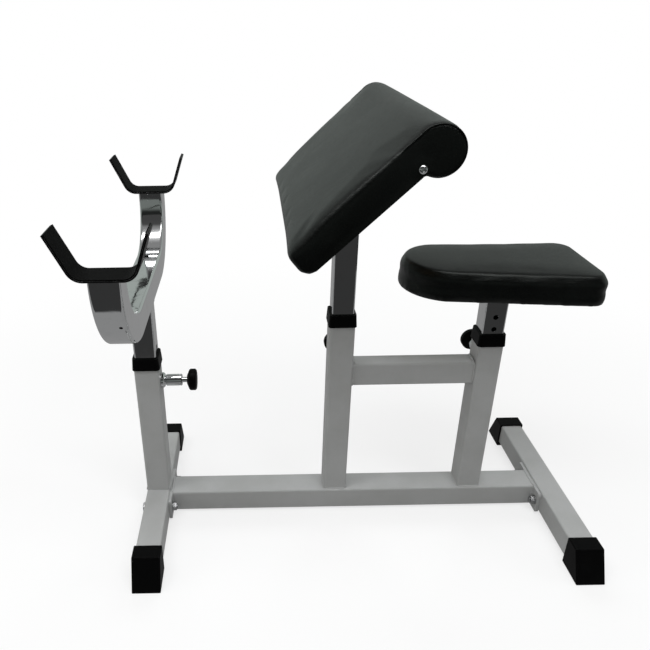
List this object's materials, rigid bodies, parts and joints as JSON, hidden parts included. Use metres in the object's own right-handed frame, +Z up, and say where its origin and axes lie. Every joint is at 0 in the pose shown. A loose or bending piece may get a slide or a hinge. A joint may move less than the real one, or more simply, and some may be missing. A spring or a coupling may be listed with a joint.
{
  "type": "preacher curl bench",
  "caption": "Preacher curl bench: a steel frame on cross feet carries a bar rack, a sloping roll-topped arm pad and a seat on telescoping posts with pull pins.",
  "frame": {"origin": "on the floor, under the middle of the bench's overall box", "axes": "+X along the bench from the bar rack towards the seat, +Y across it to the right of a user who sits facing the arm pad, +Z up"},
  "size_m": [0.9866, 0.572, 0.8765],
  "materials": {
    "frame_paint": "satin",
    "chrome": "polished",
    "zinc_steel": "satin",
    "black_paint": "satin",
    "black_plastic": "matte",
    "hook_rubber": "matte",
    "pad_vinyl": "satin",
    "board": "matte"
  },
  "bodies": {
    "frame": {"rack_foot_tube": "frame_paint", "rack_foot_cap_left": "black_plastic", "rack_foot_cap_right": "black_plastic", "seat_foot_tube": "frame_paint", "seat_foot_cap_left": "black_plastic", "seat_foot_cap_right": "black_plastic", "rack_flange_plate": "frame_paint", "seat_flange_plate": "frame_paint", "main_beam": "frame_paint", "flange_bolts": "zinc_steel", "flange_washers": "zinc_steel", "flange_nuts": "zinc_steel", "rack_upright": "frame_paint", "arm_upright": "frame_paint", "seat_upright": "frame_paint", "upright_crossbar": "frame_paint", "rack_collar": "black_plastic", "arm_collar": "black_plastic", "seat_collar": "black_plastic", "rack_pin_nut": "chrome", "rack_pin_barrel": "chrome", "rack_pin_spring": "zinc_steel", "arm_pin_nut": "chrome", "arm_pin_barrel": "chrome", "arm_pin_spring": "zinc_steel", "seat_pin_nut": "chrome", "seat_pin_barrel": "chrome", "seat_pin_spring": "zinc_steel"},
    "rack": {"rack_post": "chrome", "rack_post_glide": "black_plastic", "bar_yoke": "chrome", "left_bar_hook": "black_paint", "right_bar_hook": "black_paint", "left_hook_liner": "hook_rubber", "right_hook_liner": "hook_rubber"},
    "arm_rest": {"arm_post": "chrome", "arm_post_glide": "black_plastic", "arm_pad_plate": "black_paint", "arm_pad_board": "board", "arm_pad_cushion": "pad_vinyl", "arm_pad_screws": "zinc_steel", "arm_pad_washers": "zinc_steel", "arm_pad_side_screws": "chrome"},
    "seat": {"seat_post": "chrome", "seat_post_glide": "black_plastic", "seat_plate": "black_paint", "seat_board": "board", "seat_cushion": "pad_vinyl", "seat_screws": "zinc_steel", "seat_washers": "zinc_steel"},
    "rack_pin": {"rack_pin_plunger": "chrome", "rack_pin_knob": "black_plastic"},
    "arm_pin": {"arm_pin_plunger": "chrome", "arm_pin_knob": "black_plastic"},
    "seat_pin": {"seat_pin_plunger": "chrome", "seat_pin_knob": "black_plastic"}
  },
  "joints": [
    {"name": "rack_height", "type": "slide", "parent": "frame", "child": "rack", "axis": [0, 0, 1], "range_m": [-0.078, 0.078]},
    {"name": "arm_height", "type": "slide", "parent": "frame", "child": "arm_rest", "axis": [0, 0, 1], "range_m": [-0.052, 0.078]},
    {"name": "seat_height", "type": "slide", "parent": "frame", "child": "seat", "axis": [0, 0, 1], "range_m": [-0.078, 0.052]},
    {"name": "rack_pin_pull", "type": "slide", "parent": "frame", "child": "rack_pin", "axis": [1, 0, 0], "range_m": [-0.01, 0], "deforming": ["rack_pin_spring"]},
    {"name": "arm_pin_pull", "type": "slide", "parent": "frame", "child": "arm_pin", "axis": [0, 1, 0], "range_m": [-0.01, 0], "deforming": ["arm_pin_spring"]},
    {"name": "seat_pin_pull", "type": "slide", "parent": "frame", "child": "seat_pin", "axis": [0, 1, 0], "range_m": [-0.01, 0], "deforming": ["seat_pin_spring"]}
  ]
}
